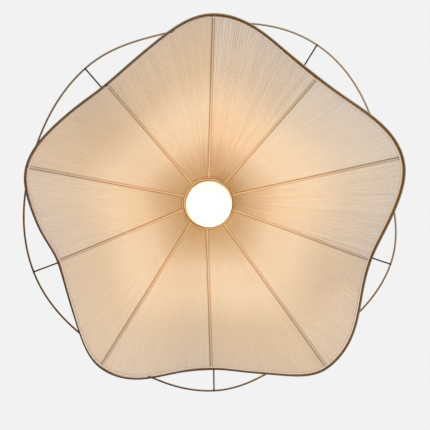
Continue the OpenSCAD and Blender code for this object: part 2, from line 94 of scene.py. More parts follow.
def bar_ends(node):
    """Middles of a straight bar's two end faces, the one near the lamp's axis first.
    The bar's direction is the main axis of its points, and an end is what lies furthest along it."""
    points = node_points(node)
    middle = points.mean(0)
    along = (points - middle) @ np.linalg.svd(points - middle)[2][0]
    ends = [points[along < along.min() + end_slice], points[along > along.max() - end_slice]]
    ends = [(end.min(0) + end.max(0)) / 2 for end in ends]
    return sorted(ends, key=lambda end: np.hypot(end[0], end[1]))


def reach_top_foot(node):
    """How far a CAD node reaches from the axis, along x, and the levels of its top and its foot."""
    low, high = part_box(node)
    return high.x, high.z, low.z


neck_reach, neck_top, neck_foot = reach_top_foot("neck_ring")
wire_r = (neck_top - neck_foot) / 2
neck_r = neck_reach - wire_r
neck_z = (neck_top + neck_foot) / 2
weld_gap = 0.2 * mm
ribs = 10
rib_step = 2 * math.pi / ribs
first_dir = -math.pi / 2

# %% Where the ribs meet the rim, and the struts the hoop
rim_knots = []
for i in range(ribs):
    near_end, far_end = bar_ends(f"rib_{i + 1}")
    rim_knots.append(far_end + (wire_r + weld_gap) * unit(far_end - near_end))
rim_knots = np.array(rim_knots)

# Over a lobe the hoop has no strut, and the place where it draws in stands off the lobe's direction.
# Its distance there is read from its points within the window on either side.
hoop_turn = np.radians([-12, 0, 5, 0, 7, 0, -2, 0, 0.5, 0])
hoop_window = 13 * mm
_, hoop_top, hoop_foot = reach_top_foot("outer_hoop")
hoop_wire_r = (hoop_top - hoop_foot) / 2
hoop_z = (hoop_top + hoop_foot) / 2
hoop_knots = []
for i in range(ribs):
    if i % 2:
        near_end, far_end = bar_ends(f"hoop_strut_{(i + 1) // 2}")
        along = far_end - near_end
        hoop_knots.append(far_end + along * (hoop_z - far_end[2]) / along[2])
    else:
        direction = first_dir + i * rib_step + hoop_turn[i]
        points = node_points("outer_hoop")
        ahead = points @ cylindrical(1, direction, 0)
        here = ahead[(abs(points @ sideways(direction)) < hoop_window) & (ahead > 0)]
        hoop_knots.append(cylindrical((here.min() + here.max()) / 2, direction, hoop_z))
hoop_knots = np.array(hoop_knots)
lobe_z = rim_knots[::2, 2].mean()

# %% A curve through ten knots
def swing(values, u):
    """A value u ribs round: it goes from one rib's value to the next as half a cosine wave."""
    i = np.floor(u).astype(int)
    share = (1 - np.cos(np.pi * (u - i))) / 2
    return values[i % ribs] * (1 - share) + values[(i + 1) % ribs] * share


def direction_at(knots, u):
    """The direction u ribs round: it turns evenly from each knot to the next, and on past a full turn."""
    directions = np.unwrap(np.arctan2(knots[:, 1], knots[:, 0]))
    directions += 2 * np.pi * np.round((first_dir - directions[0]) / (2 * np.pi))
    turns, part = np.divmod(np.asarray(u, float), ribs)
    closed = np.append(directions, directions[0] + 2 * np.pi)
    return np.interp(part, np.arange(ribs + 1), closed) + 2 * np.pi * turns


def knot_curve(knots, u):
    """A point u ribs round a wavy ring: the distance from the axis and the level both swing."""
    reach = swing(np.hypot(knots[:, 0], knots[:, 1]), np.asarray(u, float))
    return cylindrical(reach, direction_at(knots, u), swing(knots[:, 2], np.asarray(u, float)))


# Between two ribs the hand-bent rim draws in by its dip, and leans towards the first rib.
rim_dip = np.array([5.5, 4, 3.5, 0, 9, 5, 7.5, 1, 3, 7.5]) * mm
rim_lean = np.array([0, -1, -3.5, -2.5, -7.5, -3, -4.5, 7, -3, 3]) * mm


def rim_point(u):
    """The rim wire's centre line: the knots' curve, moved away from the axis by a bow that is
    sin² πs · (lean · cos πs − dip) at a share s of the way between two ribs."""
    i, s = np.floor(u).astype(int) % ribs, np.asarray(u, float) % 1
    bow = np.sin(np.pi * s) ** 2 * (rim_lean[i] * np.cos(np.pi * s) - rim_dip[i])
    return knot_curve(rim_knots, u) + cylindrical(bow, direction_at(rim_knots, u), 0)


def neck_point(u):
    """The neck ring's centre line, in the same direction as the rim's point."""
    return cylindrical(neck_r, direction_at(rim_knots, u), neck_z)


# %% [markdown]
# ## The camera
# The photograph looks up into the shade from about two metres below, some twelve degrees off its axis.
# Three turns and a distance say that: the lens is 93 mm on a 36 mm sensor, so the shade fills a square
# picture.

# %% Camera
def in_scene(name, data):
    """A new object with this data, linked to the scene."""
    thing = bpy.data.objects.new(name, data)
    scene.collection.objects.link(thing)
    return thing


picture_px = 430
focal_px = 1115
sensor_mm = 36
distance = 2.157
tilt, lean, roll = (math.radians(v) for v in (10.46, 5.86, 0.22))
aside, above = 3.0 * mm, -5.3 * mm

turned = Matrix.Rotation(tilt, 3, "X") @ Matrix.Rotation(lean, 3, "Y") @ Matrix.Rotation(roll, 3, "Z")
from_below = Matrix.Diagonal((1, -1, -1))
to_world = (turned @ from_below).transposed()
camera_data = bpy.data.cameras.new("photo_camera")
camera_data.lens = sensor_mm * focal_px / picture_px
camera_data.sensor_width = sensor_mm
camera = in_scene("photo_camera", camera_data)
camera.matrix_world = Matrix.Translation(
    Vector((0, 0, lobe_z)) + to_world @ Vector((-aside, -above, distance))
) @ to_world.to_4x4()
bpy.context.scene.camera = camera
scene.view_settings.view_transform = "Standard"

# %% [markdown]
# ## Tools for shapes
# Every new piece is a grid of points, worked out from two parameters as whole arrays. Besides the
# cloth's own, such a grid is a section carried along a path, which makes wire, tape and binding, or an
# outline turned about the axis, which makes spun and turned pieces. Corners are rounded off, because no
# real edge is a knife edge.

# %% A mesh from a grid of points
merge_distance = 0.001 * mm


def grid_mesh(name, points, wrap_rows=False, wrap_cols=False, caps=False,
              uv=None, values=None, sharp=None):
    """Quads between neighbouring points of a (rows, columns, 3) grid. A wrapped direction joins its last
    line to its first, and caps close the two ends of a tube. uv has one more line than the points in a
    wrapped direction. values are named arrays, or numbers, that are spread over all points."""
    rows, cols = points.shape[:2]
    i, j = np.meshgrid(np.arange(rows - 1 + wrap_rows), np.arange(cols - 1 + wrap_cols), indexing="ij")
    corners = [(i, j), (i + 1, j), (i + 1, j + 1), (i, j + 1)]
    quads = np.stack([(a % rows) * cols + b % cols for a, b in corners], -1).reshape(-1, 4)
    faces = quads.tolist()
    if caps:
        faces += [list(range(cols))[::-1], list(range((rows - 1) * cols, rows * cols))]
    mesh = bpy.data.meshes.new(name)
    mesh.from_pydata(points.reshape(-1, 3).tolist(), [], faces)
    if uv is not None:
        layer = mesh.uv_layers.new(name="surface_uv")
        flat = np.zeros((len(mesh.loops), 2), np.float32)
        flat[: quads.size] = np.stack([uv[a, b] for a, b in corners], -2).reshape(-1, 2)
        layer.data.foreach_set("uv", flat.ravel())
    for key, numbers in (values or {}).items():
        attribute = mesh.attributes.new(key, "FLOAT", "POINT")
        spread = np.broadcast_to(numbers, (rows, cols)).astype(np.float32)
        attribute.data.foreach_set("value", spread.ravel())
    if wrap_cols or wrap_rows:
        solid = bmesh.new()
        solid.from_mesh(mesh)
        bmesh.ops.remove_doubles(solid, verts=solid.verts, dist=merge_distance)
        bmesh.ops.recalc_face_normals(solid, faces=solid.faces)
        solid.to_mesh(mesh)
        solid.free()
    mesh.shade_smooth()
    if sharp:
        mesh.set_sharp_from_angle(angle=math.radians(sharp))
    return mesh


# %% A piece in the scene
finishes = {}


def place(name, mesh, finish, *nodes, body="light"):
    """Puts a finished mesh in the scene on its body, in place of the named CAD nodes."""
    piece = in_scene(name, mesh)
    mesh.materials.append(finishes[finish])
    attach(piece, body)
    if nodes:
        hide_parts(*nodes)
    print(name, "faces", len(mesh.polygons))
    return piece


# %% A section carried along a path
def path_frame(path, closed):
    """At each point of a path, the level direction square to it that points outwards, and the direction
    square to both."""
    if closed:
        along = unit(np.roll(path, -1, 0) - np.roll(path, 1, 0))
    else:
        along = unit(np.gradient(path, axis=0))
    side = unit(np.cross(along, [0, 0, 1]))
    return side, np.cross(side, along)


def swept(path, side, up, section):
    """Grid of points: path + section's first number · side + its second number · up. The section is an
    array of (columns, 2), or of (rows, columns, 2) where it changes along the path."""
    section = np.broadcast_to(section, (len(path), *section.shape[-2:]))
    return path[:, None] + section[..., :1] * side[:, None] + section[..., 1:] * up[:, None]


def full_turn(count):
    """Directions evenly round a full turn, from 0 up."""
    return np.linspace(0, 2 * np.pi, count, endpoint=False)


def circle(radius, sides):
    """A circle's points: radius · (cos a, sin a). The radius may be an array, one for each ring."""
    turn = full_turn(sides)
    return np.asarray(radius, float)[..., None, None] * np.stack([np.cos(turn), np.sin(turn)], -1)


def swept_mesh(name, points, path, closed, **extra):
    """Mesh of a swept grid: joined to its start if the path is closed, and capped at its ends if not.
    Its uv runs from 0 to 1 round the section and by the path's length along it."""
    ends = np.vstack([path, path[:1]]) if closed else path
    length = np.append(0, np.cumsum(norm(np.diff(ends, axis=0))))
    uv = np.stack(np.meshgrid(np.linspace(0, 1, points.shape[1] + 1), length), -1)
    return grid_mesh(name, points, wrap_rows=closed, wrap_cols=True, caps=not closed, uv=uv, **extra)


# %% An outline turned about the axis
def softened(outline, radius, points=4):
    """A closed outline with its corners rounded: each corner becomes (1−t)²·start + 2t(1−t)·corner +
    t²·end, where start and end lie a radius before and after it, or a third of the side if that is less."""
    outline = np.array(outline, float)
    before, after = np.roll(outline, 1, 0) - outline, np.roll(outline, -1, 0) - outline
    reach = np.minimum(radius, np.minimum(norm(before), norm(after)) / 3)[:, None]
    start, end = outline + unit(before) * reach, outline + unit(after) * reach
    t = np.linspace(0, 1, points)[:, None, None]
    rounded = (1 - t) ** 2 * start + 2 * t * (1 - t) * outline + t ** 2 * end
    return rounded.transpose(1, 0, 2).reshape(-1, 2)


def fine(outline, step):
    """A closed outline with points added, so that no side is longer than a step."""
    ends = np.roll(outline, -1, 0)
    count = np.maximum(1, np.ceil(norm(ends - outline) / step)).astype(int)
    share = np.concatenate([np.arange(n) / n for n in count])[:, None]
    return np.repeat(outline, count, 0) * (1 - share) + np.repeat(ends, count, 0) * share


def arc(centre, radii, turn):
    """Part of a circle or an ellipse in an outline: centre + radii · (cos a, sin a)."""
    return np.asarray(centre) + np.stack([np.cos(turn), np.sin(turn)], -1) * radii


def turned_piece(name, node, key, outline, sides, relief=None, sharp=50, body="light"):
    """A piece whose points are (r · cos a, r · sin a, z) for each (r, z) of a closed outline. relief adds
    to r, as a function of r, z and a, which is how threads and grips are made."""
    turn = full_turn(sides)[None, :]
    r, z = outline[:, :1] + 0 * turn, outline[:, 1:] + 0 * turn
    if relief is not None:
        r = r + relief(r, z, turn)
    mesh = grid_mesh(name, cylindrical(r, turn, z), wrap_rows=True, wrap_cols=True, sharp=sharp)
    return place(name, mesh, key, node, body=body)


def smooth_step(x):
    """0 below 0, 1 above 1 and 3x² − 2x³ between."""
    x = np.clip(x, 0, 1)
    return x * x * (3 - 2 * x)


# %% [markdown]
# ## Tools for finishes
# A colour is written as its sRGB hex value, as a colour picker gives it, and one function turns it into
# the linear light that Blender wants. Another adds a node with its settings and links. A finish is then
# a short list of nodes, and what several finishes share is a function too.

# %% Colours and nodes
def linear(hex_colour):
    """Linear colour of an sRGB hex value: a channel c is c/12.92 below 0.04, else ((c+0.055)/1.055)^2.4."""
    c = np.array([int(hex_colour[k:k + 2], 16) for k in (1, 3, 5)]) / 255
    return (*np.where(c <= 0.04045, c / 12.92, ((c + 0.055) / 1.055) ** 2.4).tolist(), 1.0)


def connect(tree, node, links):
    """Gives each named socket of a node a value, or joins it to another node's output."""
    for key, value in links.items():
        if isinstance(value, bpy.types.NodeSocket):
            tree.links.new(value, node.inputs[key])
        else:
            node.inputs[key].default_value = value


def add(tree, kind, links=None, out=0, **settings):
    """Adds one node and returns one of its outputs. settings are its own properties, and links are its
    sockets' values or sources, by name or number."""
    node = tree.nodes.new("ShaderNode" + kind)
    for key, value in settings.items():
        setattr(node, key, value)
    connect(tree, node, links or {})
    return node.outputs[out]


def ramp(tree, value, stops):
    """A colour that changes with a value. The stops are places and hex colours, both ends first."""
    colour = add(tree, "ValToRGB", {"Fac": value})
    elements = colour.node.color_ramp.elements
    for k, (position, hex_colour) in enumerate(stops):
        stop = elements[k] if k < 2 else elements.new(position)
        stop.position, stop.color = position, linear(hex_colour)
    return colour


def mix(tree, share, one, other, blend_type="MIX"):
    """Two colours mixed by a share, or the first multiplied by the other. Set to colours, a Mix node
    takes the share at socket 0 and the colours at 6 and 7."""
    return add(tree, "Mix", {0: share, 6: one, 7: other}, out=2, data_type="RGBA", blend_type=blend_type)


def remap(tree, value, new=(0.0, 1.0), old=(0.0, 1.0), **settings):
    """A value brought from its old range to a new one, and kept within it."""
    return add(tree, "MapRange", {0: value, 1: old[0], 2: old[1], 3: new[0], 4: new[1]}, **settings)


def bump(tree, height, strength, distance):
    """A normal that leans with a height, for relief too fine for the mesh."""
    return add(tree, "Bump", {"Height": height, "Strength": strength, "Distance": distance})


def point_values(tree, *keys):
    """The values of these names that grid_mesh gave to the points."""
    return [add(tree, "Attribute", out="Fac", attribute_name=key) for key in keys]


def finish(name, key, **sockets):
    """A new material with a Principled shader. Each socket is a value, set on the shader itself."""
    material = bpy.data.materials.new(name)
    material.use_nodes = True
    surface = material.node_tree.nodes["Principled BSDF"]
    for socket, value in sockets.items():
        surface.inputs[socket.replace("_", " ")].default_value = value
    finishes[key] = material
    return material.node_tree, surface


# %% What several finishes share
def seen_by(tree, *kinds):
    """1 for rays of these kinds, and 0 for the others."""
    most = 0.0
    for kind in kinds:
        ray = add(tree, "LightPath", out=f"Is {kind} Ray")
        most = add(tree, "Math", {0: most, 1: ray}, operation="MAXIMUM")
    return most


def noise_over(tree, per_u, per_v, **settings):
    """Noise laid over a surface by its uv, with so many swells to each unit of u and of v."""
    on_surface = add(tree, "UVMap", uv_map="surface_uv")
    at = add(tree, "Mapping", {"Vector": on_surface, "Scale": (per_u, per_v, 1)})
    return add(tree, "TexNoise", {"Vector": at, "Scale": 1.0, "Detail": 2.0, **settings})


def clouded(tree, size, deep, pale, detail=2.0):
    """Noise in clouds of a size in metres, and a colour that drifts with it from deep to pale."""
    place_in = add(tree, "TexCoord", out="Object")
    cloud = add(tree, "TexNoise", {"Vector": place_in, "Scale": 1 / size, "Detail": detail})
    return cloud, ramp(tree, cloud, [(0.3, deep), (0.7, pale)])


# %% [markdown]
# ## The studio
# The light hangs in the open with a pale floor far below it. The world gives an even, soft light, and
# five large lamps give it a direction. Behind everything, and in what brass and glass mirror, stands one
# pale grey, which the floor passes into.

# %% World
background = "#f2f2f2"
world_level = 0.72
world = bpy.data.worlds.new("studio_air")
world.use_nodes = True
scene.world = world
tree = world.node_tree
soft = add(tree, "Background", {"Color": (1, 1, 1, 1), "Strength": world_level})
shown = add(tree, "Background", {"Color": linear(background), "Strength": 1.0})
mixed = add(tree, "MixShader", {0: seen_by(tree, "Camera", "Glossy", "Transmission"), 1: soft, 2: shown})
connect(tree, tree.nodes["World Output"], {"Surface": mixed})

# %% Floor
floor_z = -3.6
floor_r = 9.0
ring = np.linspace(0, 1, 25)[:, None] ** 2 * floor_r
mesh = grid_mesh("studio_floor", cylindrical(ring, full_turn(96)[None, :], floor_z), wrap_cols=True)
floor = in_scene("studio_floor", mesh)

# %% Floor paint
# Matt white paint. Beyond a few metres it passes into the background, so that no horizon shows.
fade_from, fade_to = 4.0, 6.5
tree, surface = finish("matt_white_floor_paint", "floor", Base_Color=linear("#dcdcdc"), Roughness=0.9,
                       Specular_IOR_Level=0.2)
place_in = add(tree, "TexCoord", out="Object")
far_out = add(tree, "VectorMath", {0: place_in}, out="Value", operation="LENGTH")
fade = remap(tree, far_out, old=(fade_from, fade_to), interpolation_type="SMOOTHSTEP")
fade = add(tree, "Math", {0: fade, 1: seen_by(tree, "Camera", "Glossy")}, operation="MULTIPLY")
glow = add(tree, "Emission", {"Color": linear(background), "Strength": 1.0})
mixed = add(tree, "MixShader", {0: fade, 1: surface.outputs[0], 2: glow})
connect(tree, tree.nodes["Material Output"], {"Surface": mixed})
mesh.materials.append(finishes["floor"])

# %% Lamps
shade_middle = Vector((0, 0, (neck_z + lobe_z) / 2))


def softbox(name, at, size, watts, colour="#ffffff"):
    """A square area lamp that faces the middle of the shade and doesn't show in the picture."""
    data = bpy.data.lights.new(name, "AREA")
    data.size, data.energy, data.color = size, watts, linear(colour)[:3]
    lamp = in_scene(name, data)
    lamp.location = at
    lamp.rotation_euler = (shade_middle - Vector(at)).to_track_quat("-Z", "Y").to_euler()
    lamp.visible_camera = False


softbox("lamp_below_left", (-1.8, 1.1, -2.1), 1.2, 26, "#d8eaff")
softbox("lamp_below_right", (1.7, -1.0, -2.2), 1.8, 2, "#ffe4c0")
softbox("lamp_beside_right", (2.1, -1.9, -0.3), 0.8, 44)
softbox("lamp_above_front", (1.2, -2.0, 2.0), 1.6, 26)
softbox("lamp_above_back", (-1.8, 1.6, 1.4), 2.0, 12)

# %% [markdown]
# ## Pleated cloth
# The gores are fine crinkle-pleated cloth on a thin backing. Hundreds of uneven pleats are pressed into
# it, a few millimetres apart at the rim and under a millimetre at the neck. The globe's light shines
# through it, most strongly a third of the way out. Light and shade are also painted into its colour:
# some gores are painted paler and cooler towards the rim as painted light and the others warmer, and the
# colour is painted darker towards the neck and in the pleats' valleys and crinkles as painted shade.
# The folds are real geometry, the thread is bump, and the glow is a gentle emission that depends on the
# distance from the neck, because that keeps its look in any program.

# %% Cloth finish
# Woven polyester, heat-set in pleats. It is matt, with a soft sheen where a fold turns away.
streak_u = 4 * mm
streak_v = 70 * mm
thread = 0.9 * mm
# What shines through cloth and tape, from the neck, 0, to the rim, 1.
glow_stops = [(0.0, "#482e16"), (1.0, "#2c2420"), (0.12, "#644226"), (0.3, "#8e6c48"),
              (0.47, "#8c704e"), (0.72, "#54442e")]
tree, surface = finish("crinkle_pleated_polyester", "cloth", Roughness=0.85, Specular_IOR_Level=0.25,
                       Sheen_Weight=0.12, Sheen_Roughness=0.5, Emission_Strength=1.0)
reach, fold, painted_warm_shade = point_values(tree, "reach", "fold", "painted_warm_shade")
# Painted shade: the cloth's colour is darker and warmer towards the neck, where the inside of the shade
# lies deep in shade.
dye_and_painted_shade = ramp(tree, reach, [
    (0.0, "#d2a670"), (1.0, "#efddcb"), (0.12, "#e6c498"), (0.3, "#f2daba"), (0.5, "#f2dabb"),
    (0.75, "#f3dec6")])
# Painted light and shade: where a gore is not painted paler, its colour is multiplied warmer.
painted_light_tone = mix(tree, painted_warm_shade, dye_and_painted_shade, linear("#fbf0e0"), "MULTIPLY")
# Painted shade: the colour is darkened along noise streaks in the crinkles and in the pleats' valleys, more
# towards the neck.
streaks = noise_over(tree, 1 / streak_u, 1 / streak_v, Detail=3.0, Roughness=0.6)
depth = remap(tree, reach, (0.24, 0.14), old=(0.3, 0.8))
painted_streak_shade = remap(tree, streaks, (0.0, depth), old=(0.3, 0.7))
painted_valley_shade = remap(tree, fold, (0.1, 0.0), old=(-1.0, 1.0))
shade = add(tree, "Math", {0: painted_streak_shade, 1: painted_valley_shade}, operation="ADD")
weft = noise_over(tree, 1 / thread, 1 / thread)
connect(tree, surface, {
    "Base Color": mix(tree, shade, painted_light_tone, linear("#b08a62")),
    "Emission Color": ramp(tree, reach, glow_stops),
    "Normal": bump(tree, weft, 0.12, 0.1 * mm),
})

# %% [markdown]
# The cloth lies a little below the wires, flat at the seams, at the neck and at the rim, where it is
# sewn down. A pleat's height is a rounded sawtooth of its number, and the number grows across the gore
# by irregular steps and wanders a little along the pleat. All of it comes from one seeded generator.

# %% Middle of the cloth
cloth_gap = 0.3 * mm
cloth_t = 1.0 * mm
sheet_t = 0.5 * mm
steepest = math.atan2(neck_z - lobe_z, np.hypot(*rim_knots[::2, :2].T).mean() - neck_r)
cloth_drop = (wire_r + cloth_gap + cloth_t / 2) / math.cos(steepest)
edge_inset = (wire_r + cloth_gap) / math.cos(steepest)

# Seams stray from the ribs by these lengths, counter-clockwise from above, one for each rib.
seam_stray = np.array([2.1, 2.9, -0.8, -1.8, -0.2, 2.9, 4.7, 3.4, 0.0, 0.5]) * mm


def cloth_point(u, share):
    """Middle of the cloth u ribs round, at a share of the way from the neck to its edge at the rim:
    straight lines from ring to rim, let down below the wires and moved sideways with the seams."""
    top, end = neck_point(u), rim_point(u)
    length = norm(end - top)[..., None]
    share = np.asarray(share, float)[..., None] * (1 - edge_inset / length)
    stray = (seam_stray[np.floor(u).astype(int) % ribs] * (1 - u % 1)
             + seam_stray[np.floor(u + 1).astype(int) % ribs] * (u % 1))
    moved = sideways(direction_at(rim_knots, u)) * stray[..., None]
    return top + (end - top) * share + moved - [0, 0, cloth_drop]


# %% One gore of pleats
pleats = 54
pleat_sides = 6
pleat_rows = 46
pleat_high = (0.24 * mm, 0.42 * mm)
seam_gap = 0.3 * mm
seam_flat = 3 * mm
neck_flat, rim_flat = 0.06, 0.02
# Some gores are stretched tighter than others: how deep the pleats of each one stand.
gore_depth = (2.8, 0.6, 2.0, 0.6, 0.5, 0.45, 0.4, 1.0, 0.6, 1.4)
# Painted light: how far each gore is painted paler and cooler towards its rim.
gore_painted_light = (0.9, 1.0, 0.9, 0.25, 0.0, 0.45, 0.2, 0.65, 0.05, 0.0)
painted_light_start, painted_light_width = 0.45, 0.3
# No two pleats are alike: ranges of their widths and heights, and how far each one sways along.
pleat_widths, pleat_gains = (0.55, 1.45), (0.55, 1.3)
sway_most, sway_rate = 0.25, 5
short_of_next = 0.999999


def pleat_number(across, along, random):
    """How many pleats lie before each point: irregular widths added up, moved by a slow wave along."""
    widths = random.uniform(*pleat_widths, pleats)
    edges = np.append(0, np.cumsum(widths)) / widths.sum()
    knots = np.arange(pleats + 1)
    number = np.interp(across, edges, knots)
    sway = np.interp(number, knots, random.uniform(-sway_most, sway_most, pleats + 1))
    start = np.interp(number, knots, random.uniform(0, 2 * np.pi, pleats + 1))
    return number + sway * np.sin(sway_rate * along + start)


def pleated_gore(i, random):
    """Grid of the pleated cloth between ribs i and i + 1, and each point's reach and fold.
    fold = gain · (sin 2πn + 0.3 · sin(4πn + 0.8)), n the pleat number, faded out at the sewn edges."""
    across = np.linspace(0, 1, pleats * pleat_sides + 1)[None, :]
    along = np.linspace(0, 1, pleat_rows)[:, None]
    across, along = across + 0 * along, along + 0 * across
    middle = cloth_point(i + across * short_of_next, along)
    width = norm(np.diff(middle, axis=1)).sum(1)[:, None]
    number = pleat_number(across, along, random)
    gain = np.interp(number, np.arange(pleats + 1), random.uniform(*pleat_gains, pleats + 1))
    wave = gain * (np.sin(2 * np.pi * number) + 0.3 * np.sin(4 * np.pi * number + 0.8))
    from_seam = np.minimum(across, 1 - across) * width
    held = smooth_step(from_seam / seam_flat) * smooth_step(along / neck_flat)
    held = held * smooth_step((1 - along) / rim_flat)
    height = (pleat_high[0] + (pleat_high[1] - pleat_high[0]) * along) * gore_depth[i]
    normal = unit(np.cross(np.gradient(middle, axis=1), np.gradient(middle, axis=0)))
    side = unit(np.gradient(middle, axis=1)) * (0.5 - across)[..., None] * seam_gap
    return middle + side + normal * (wave * height * held)[..., None], along, wave * held


# %% Ten gores
random = np.random.default_rng(11)
for i in range(ribs):
    points, along, wave = pleated_gore(i, random)
    cut_width = norm(np.diff(points, axis=1)).sum(1).max()
    cut_length = norm(np.diff(points, axis=0)).sum(0).mean()
    u, v = np.meshgrid(np.linspace(0, cut_width, points.shape[1]), along[:, 0] * cut_length)
    # Painted warm shade: 1 where a gore is not painted paler towards its rim.
    painted_warm_shade = (1 - gore_painted_light[i]) * smooth_step((along - painted_light_start) / painted_light_width)
    mesh = grid_mesh(f"pleated_gore_{i + 1}", points, uv=np.stack([u, v], -1),
                     values={"reach": along, "fold": wave, "painted_warm_shade": painted_warm_shade})
    gore = place(f"pleated_gore_{i + 1}", mesh, "cloth", f"gore_{i + 1}")
    wall = gore.modifiers.new("cloth_thickness", "SOLIDIFY")
    wall.thickness, wall.offset = sheet_t, 0

# %% [markdown]
# ## Seams and bindings
# Over each seam runs a narrow tape. Its allowance is pressed to one side, where the folded edges make a
# darker cord, and the middle stands up as a pale rib with a thin line of shade on the other side. Both
# dark lines are partly real folds and partly painted shadow in the tape's colour, of the seam and of the
# rib wire above it. A bias binding closes the cloth at the rim and another at the neck, and the rim's
# binding is painted darker along its edge as painted shade of the wire. All are closed sections carried
# along the cloth, so their edges are round and catch the light.

# %% Tape finish
# Woven cotton tape: matt, with the cord's brown on one side and a fine line on the other, both partly
# painted shadow.
tree, surface = finish("woven_cotton_tape", "tape", Roughness=0.8, Specular_IOR_Level=0.3,
                       Emission_Strength=1.0)
across, reach = point_values(tree, "across", "reach")
line = remap(tree, across, old=(-1.0, 1.0))
# Painted shade: the tape is darker and warmer towards the neck, as the cloth is.
dye_and_painted_shade = ramp(tree, reach, [
    (0.0, "#f2cf98"), (1.0, "#dac6b0"), (0.12, "#f0d2a6"), (0.3, "#ecceac"), (0.6, "#dec4a6")])
cord = ramp(tree, line, [
    (0.02, "#e6e6e6"), (1.0, "#ffffff"), (0.22, "#e6e6e6"), (0.29, "#000000"), (0.56, "#000000"),
    (0.64, "#ffffff")])
fold_and_painted_shadow = ramp(tree, reach, [
    (0.0, "#d0b080"), (1.0, "#c2b09e"), (0.3, "#d4b48e")])
glow = ramp(tree, reach, glow_stops)
woven = noise_over(tree, 9, 1 / (1.2 * mm))
# The folded edges let less light through, and dye lies thicker on them. The darkening there and in the fine
# line is also painted shadow of the seam and of the rib wire: both colours are multiplied.
connect(tree, surface, {
    "Base Color": mix(tree, cord, dye_and_painted_shade, fold_and_painted_shadow, "MULTIPLY"),
    "Emission Color": mix(tree, cord, glow, fold_and_painted_shadow, "MULTIPLY"),
    "Normal": bump(tree, woven, 0.4, 0.15 * mm),
})

# %% Ten seam tapes in one piece
tape_half = 3 * mm
tape_thick = 0.35 * mm
tape_down = 0.75 * mm
tape_rows = 60
cord_high, cord_at, cord_w = 0.55 * mm, 2.0 * mm, 0.7 * mm
rib_high, rib_at, rib_w = 0.5 * mm, -0.3 * mm, 0.9 * mm
rim_binding_w = 3.2 * mm
neck_binding_w = 2.6 * mm
# The side that each seam allowance is pressed to: 1 is counter-clockwise from above.
pressed_to = (-1, 1, -1, 1, 1, 1, 1, 1, -1, -1)


def tape_section(pressed):
    """Closed section of the seam tape, (sideways, up): a flat oval, with a cord hanging under its pressed
    side and a low rib under its middle, both as bell curves of the sideways place. Also each point's
    place across the tape, from −1 to 1 towards the pressed side."""
    turn = full_turn(40)
    x, z = tape_half * np.cos(turn), tape_thick * np.sin(turn)
    cord = cord_high * np.exp(-(((x - cord_at) / cord_w) ** 2))
    rib = rib_high * np.exp(-(((x - rib_at) / rib_w) ** 2))
    z = z - np.where(np.sin(turn) < 0, cord + rib, 0)
    return np.stack([pressed * x, z], -1), x / tape_half


joined = bmesh.new()
for i in range(ribs):
    u = np.full(tape_rows, float(i))
    length = norm(rim_point(u[0]) - neck_point(u[0]))
    share = np.linspace(neck_binding_w / length, 1 - rim_binding_w / length, tape_rows)
    path = cloth_point(u, share)
    side = sideways(direction_at(rim_knots, u))
    up = unit(np.cross(unit(np.gradient(path, axis=0)), side))
    section, x = tape_section(pressed_to[i])
    points = swept(path - up * tape_down, side, up, section)
    tape = swept_mesh("tape", points, points[:, 0], False, values={"across": x, "reach": share[:, None]})
    joined.from_mesh(tape)
    bpy.data.meshes.remove(tape)
mesh = bpy.data.meshes.new("seam_tape_lines")
joined.to_mesh(mesh)
joined.free()
seam_lines = place("seam_tape_lines", mesh, "tape", "seam_tapes")

# %% Binding finish
# Satin bias binding: a soft highlight runs along its fold, and close stitches cross it.
tree, surface = finish("satin_bias_binding", "binding", Roughness=0.55, Specular_IOR_Level=0.4,
                       Sheen_Weight=0.2, Sheen_Roughness=0.4, Emission_Strength=1.0)
reach, edge = point_values(tree, "reach", "edge")
# Painted shade and light: the neck binding is darker and warmer as painted shade, and both bindings glow
# with painted light as emission.
dye_and_painted_shade = ramp(tree, reach, [(0.0, "#dcaa70"), (1.0, "#f2e2cc")])
glow = ramp(tree, reach, [(0.0, "#4a2e14"), (1.0, "#302820")])
stitches = noise_over(tree, 6, 1 / (2.5 * mm))
worn = remap(tree, stitches, (0.0, 0.14), old=(0.35, 0.65))
dye_and_painted_shade = mix(tree, worn, dye_and_painted_shade, linear("#b48a5c"))
# The edge against the wire is darkened as painted shade of the wire beside it: both colours are multiplied.
painted_wire_shade = linear("#a87a48")
connect(tree, surface, {
    "Base Color": mix(tree, edge, dye_and_painted_shade, painted_wire_shade, "MULTIPLY"),
    "Emission Color": mix(tree, edge, glow, painted_wire_shade, "MULTIPLY"),
    "Normal": bump(tree, stitches, 0.5, 0.2 * mm),
})

# %% Bindings at the rim and the neck
binding_half_t = 0.4 * mm
binding_down = 0.95 * mm
binding_rows, binding_sides = 72 * ribs, 16
pucker_depth = 0.12


def binding(name, node, width, at_rim):
    """A flat oval section, width across and puckered by the pleats, carried once round the shade, under
    the cloth's edge. Its place along the cloth is half its width in from the edge."""
    u = np.linspace(0, ribs, binding_rows, endpoint=False)
    length = norm(rim_point(u) - neck_point(u))
    middle = 1 - width / 2 / length if at_rim else width / 2 / length
    path = cloth_point(u, middle)
    slope = unit(rim_point(u) - neck_point(u))
    up = unit(np.cross(slope, unit(np.roll(path, -1, 0) - np.roll(path, 1, 0))))
    up = up * np.sign(up[:, 2:])
    turn = full_turn(binding_sides)
    pucker = 1 + pucker_depth * np.sin(2 * np.pi * pleats * u)[:, None]
    x = width / 2 * np.sign(np.cos(turn)) * abs(np.cos(turn)) ** 0.8 + 0 * pucker
    section = np.stack([x, binding_half_t * pucker * np.sin(turn)], -1)
    # The binding's outer edge at the rim, darkened with painted shade of the wire beside it.
    edge = smooth_step((x / width * 2 - 0.2) / 0.7) * at_rim
    mesh = swept_mesh(name, swept(path - up * binding_down, slope, up, section), path, True,
                      values={"reach": float(at_rim), "edge": edge})
    return place(name, mesh, "binding", node)


rim_edge = binding("rim_bias_binding", "rim_binding", rim_binding_w, True)
neck_edge = binding("neck_bias_binding", "neck_binding", neck_binding_w, False)
